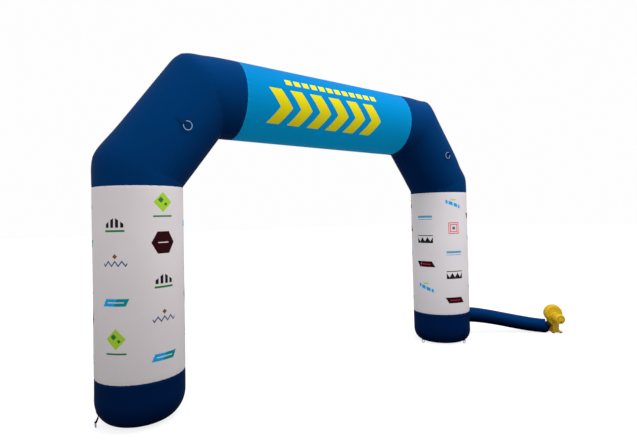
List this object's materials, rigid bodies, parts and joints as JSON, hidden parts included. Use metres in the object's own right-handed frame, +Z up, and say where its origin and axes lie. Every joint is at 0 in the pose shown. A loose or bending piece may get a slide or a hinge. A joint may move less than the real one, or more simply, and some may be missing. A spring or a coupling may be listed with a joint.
{
  "type": "inflatable arch",
  "caption": "Inflatable gateway arch: a round fabric tube bent into two legs, slanting braces and a level beam, with guy-rope tabs and an air blower on a sleeve.",
  "frame": {"origin": "on the ground, at the middle of the whole part's bounding box seen from above", "axes": "+X across the opening, from the free leg to the leg with the inflation sleeve and the blower; +Y through the opening, from front to back; +Z up"},
  "size_m": [6.3225, 1.531, 3.4967],
  "materials": {
    "navy_cloth": "coated polyester, satin",
    "white_cloth": "coated polyester, satin, printed",
    "cyan_cloth": "coated polyester, satin, printed",
    "webbing": "woven polyester webbing",
    "steel": "polished welded steel rings",
    "yellow_plastic": "moulded, fine texture",
    "black_rubber": "moulded, matt"
  },
  "bodies": {
    "root": {"foot_left": "navy_cloth", "leg_panel_left": "white_cloth", "elbow_left": "navy_cloth", "brace_left": "navy_cloth", "crown_left": "navy_cloth", "foot_right": "navy_cloth", "leg_panel_right": "white_cloth", "elbow_right": "navy_cloth", "brace_right": "navy_cloth", "crown_right": "navy_cloth", "beam_panel": "cyan_cloth", "inflation_sleeve": "navy_cloth", "sleeve_tie": "webbing", "tab_foot_left_outer": "webbing", "ring_foot_left_outer": "steel", "tab_foot_left_back": "webbing", "ring_foot_left_back": "steel", "tab_brace_left_front": "webbing", "ring_brace_left_front": "steel", "tab_brace_left_back": "webbing", "ring_brace_left_back": "steel", "tab_foot_right_outer": "webbing", "ring_foot_right_outer": "steel", "tab_foot_right_inner": "webbing", "ring_foot_right_inner": "steel", "tab_foot_right_front": "webbing", "ring_foot_right_front": "steel", "tab_foot_right_back": "webbing", "ring_foot_right_back": "steel", "tab_brace_right_front": "webbing", "ring_brace_right_front": "steel", "tab_brace_right_back": "webbing", "ring_brace_right_back": "steel", "blower_scroll": "yellow_plastic", "blower_motor": "yellow_plastic", "blower_motor_cap": "yellow_plastic", "blower_base": "yellow_plastic", "blower_bracket_front": "yellow_plastic", "blower_bracket_back": "yellow_plastic", "blower_inlet": "black_rubber", "blower_spigot": "black_rubber", "blower_gland": "black_rubber", "blower_pad_1": "black_rubber", "blower_pad_2": "black_rubber", "blower_pad_3": "black_rubber", "blower_pad_4": "black_rubber"}
  },
  "joints": []
}
